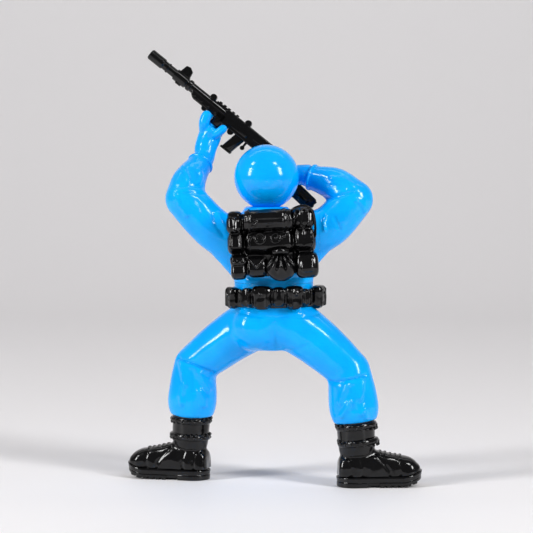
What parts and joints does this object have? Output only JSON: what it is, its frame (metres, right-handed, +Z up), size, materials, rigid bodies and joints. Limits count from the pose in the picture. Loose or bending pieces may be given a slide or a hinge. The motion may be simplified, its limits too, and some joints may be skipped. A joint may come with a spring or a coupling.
{
  "type": "toy soldier",
  "caption": "Glossy plastic toy soldier in a wide stance aiming a raised rifle, with helmet, backpack, pouch belt and boots; head, waist, shoulders and boots turn.",
  "frame": {"origin": "middle of the bounding box in plan, on the floor under the boot soles", "axes": "+Z up, +Y the way the figure faces, +X the figure's right-hand side"},
  "size_m": [0.0764, 0.0322, 0.1131],
  "materials": {
    "blue_plastic": "bright blue moulded plastic, high gloss",
    "black_plastic": "black moulded plastic, high gloss",
    "screw_steel": "plain steel"
  },
  "bodies": {
    "lower_body": {"hips": "blue_plastic", "belt": "black_plastic", "belt_buckle": "black_plastic", "left_shin": "blue_plastic", "right_shin": "blue_plastic"},
    "left_foot": {"left_boot": "black_plastic", "left_sole": "black_plastic"},
    "right_foot": {"right_boot": "black_plastic", "right_sole": "black_plastic"},
    "torso": {"torso_front": "blue_plastic", "torso_back": "blue_plastic", "torso_screw_left": "screw_steel", "torso_screw_right": "screw_steel"},
    "head": {"head": "blue_plastic", "helmet": "blue_plastic"},
    "right_arm": {"right_arm": "blue_plastic", "right_hand": "blue_plastic"},
    "left_arm": {"left_arm": "blue_plastic", "left_hand": "blue_plastic"},
    "rifle": {"rifle": "black_plastic"},
    "backpack": {"backpack": "black_plastic"}
  },
  "joints": [
    {"name": "waist_turn", "type": "hinge", "parent": "lower_body", "child": "torso", "pos_m": [0.00008, -0.00186, 0.0523], "axis": [0, 0, 1], "range_deg": [-40, 40]},
    {"name": "head_turn", "type": "hinge", "parent": "torso", "child": "head", "pos_m": [-0.00182, -0.00186, 0.0715], "axis": [0, 0, 1], "continuous": true},
    {"name": "right_shoulder", "type": "hinge", "parent": "torso", "child": "right_arm", "pos_m": [0.00008, -0.00186, 0.0652], "axis": [1, 0, 0], "range_deg": [-45, 0]},
    {"name": "left_shoulder", "type": "hinge", "parent": "torso", "child": "left_arm", "pos_m": [0.00008, -0.00186, 0.0652], "axis": [1, 0, 0], "range_deg": [-45, 0]},
    {"name": "left_boot_turn", "type": "hinge", "parent": "lower_body", "child": "left_foot", "pos_m": [-0.02155, 0.00434, 0.017], "axis": [0.059, -0.0169, 0.9981], "range_deg": [-20, 20]},
    {"name": "right_boot_turn", "type": "hinge", "parent": "lower_body", "child": "right_foot", "pos_m": [0.02122, -0.00792, 0.017], "axis": [-0.1246, 0.0357, 0.9916], "range_deg": [-20, 20]},
    {"name": "backpack_pull", "type": "slide", "parent": "torso", "child": "backpack", "axis": [0, -1, 0], "range_m": [0, 0.008]},
    {"name": "rifle_lift", "type": "slide", "parent": "right_arm", "child": "rifle", "axis": [0.628, 0, 0.7782], "range_m": [0, 0.012]}
  ],
  "couplings": [
    {"joint": "left_shoulder", "follows": "right_shoulder", "ratio": 1}
  ]
}
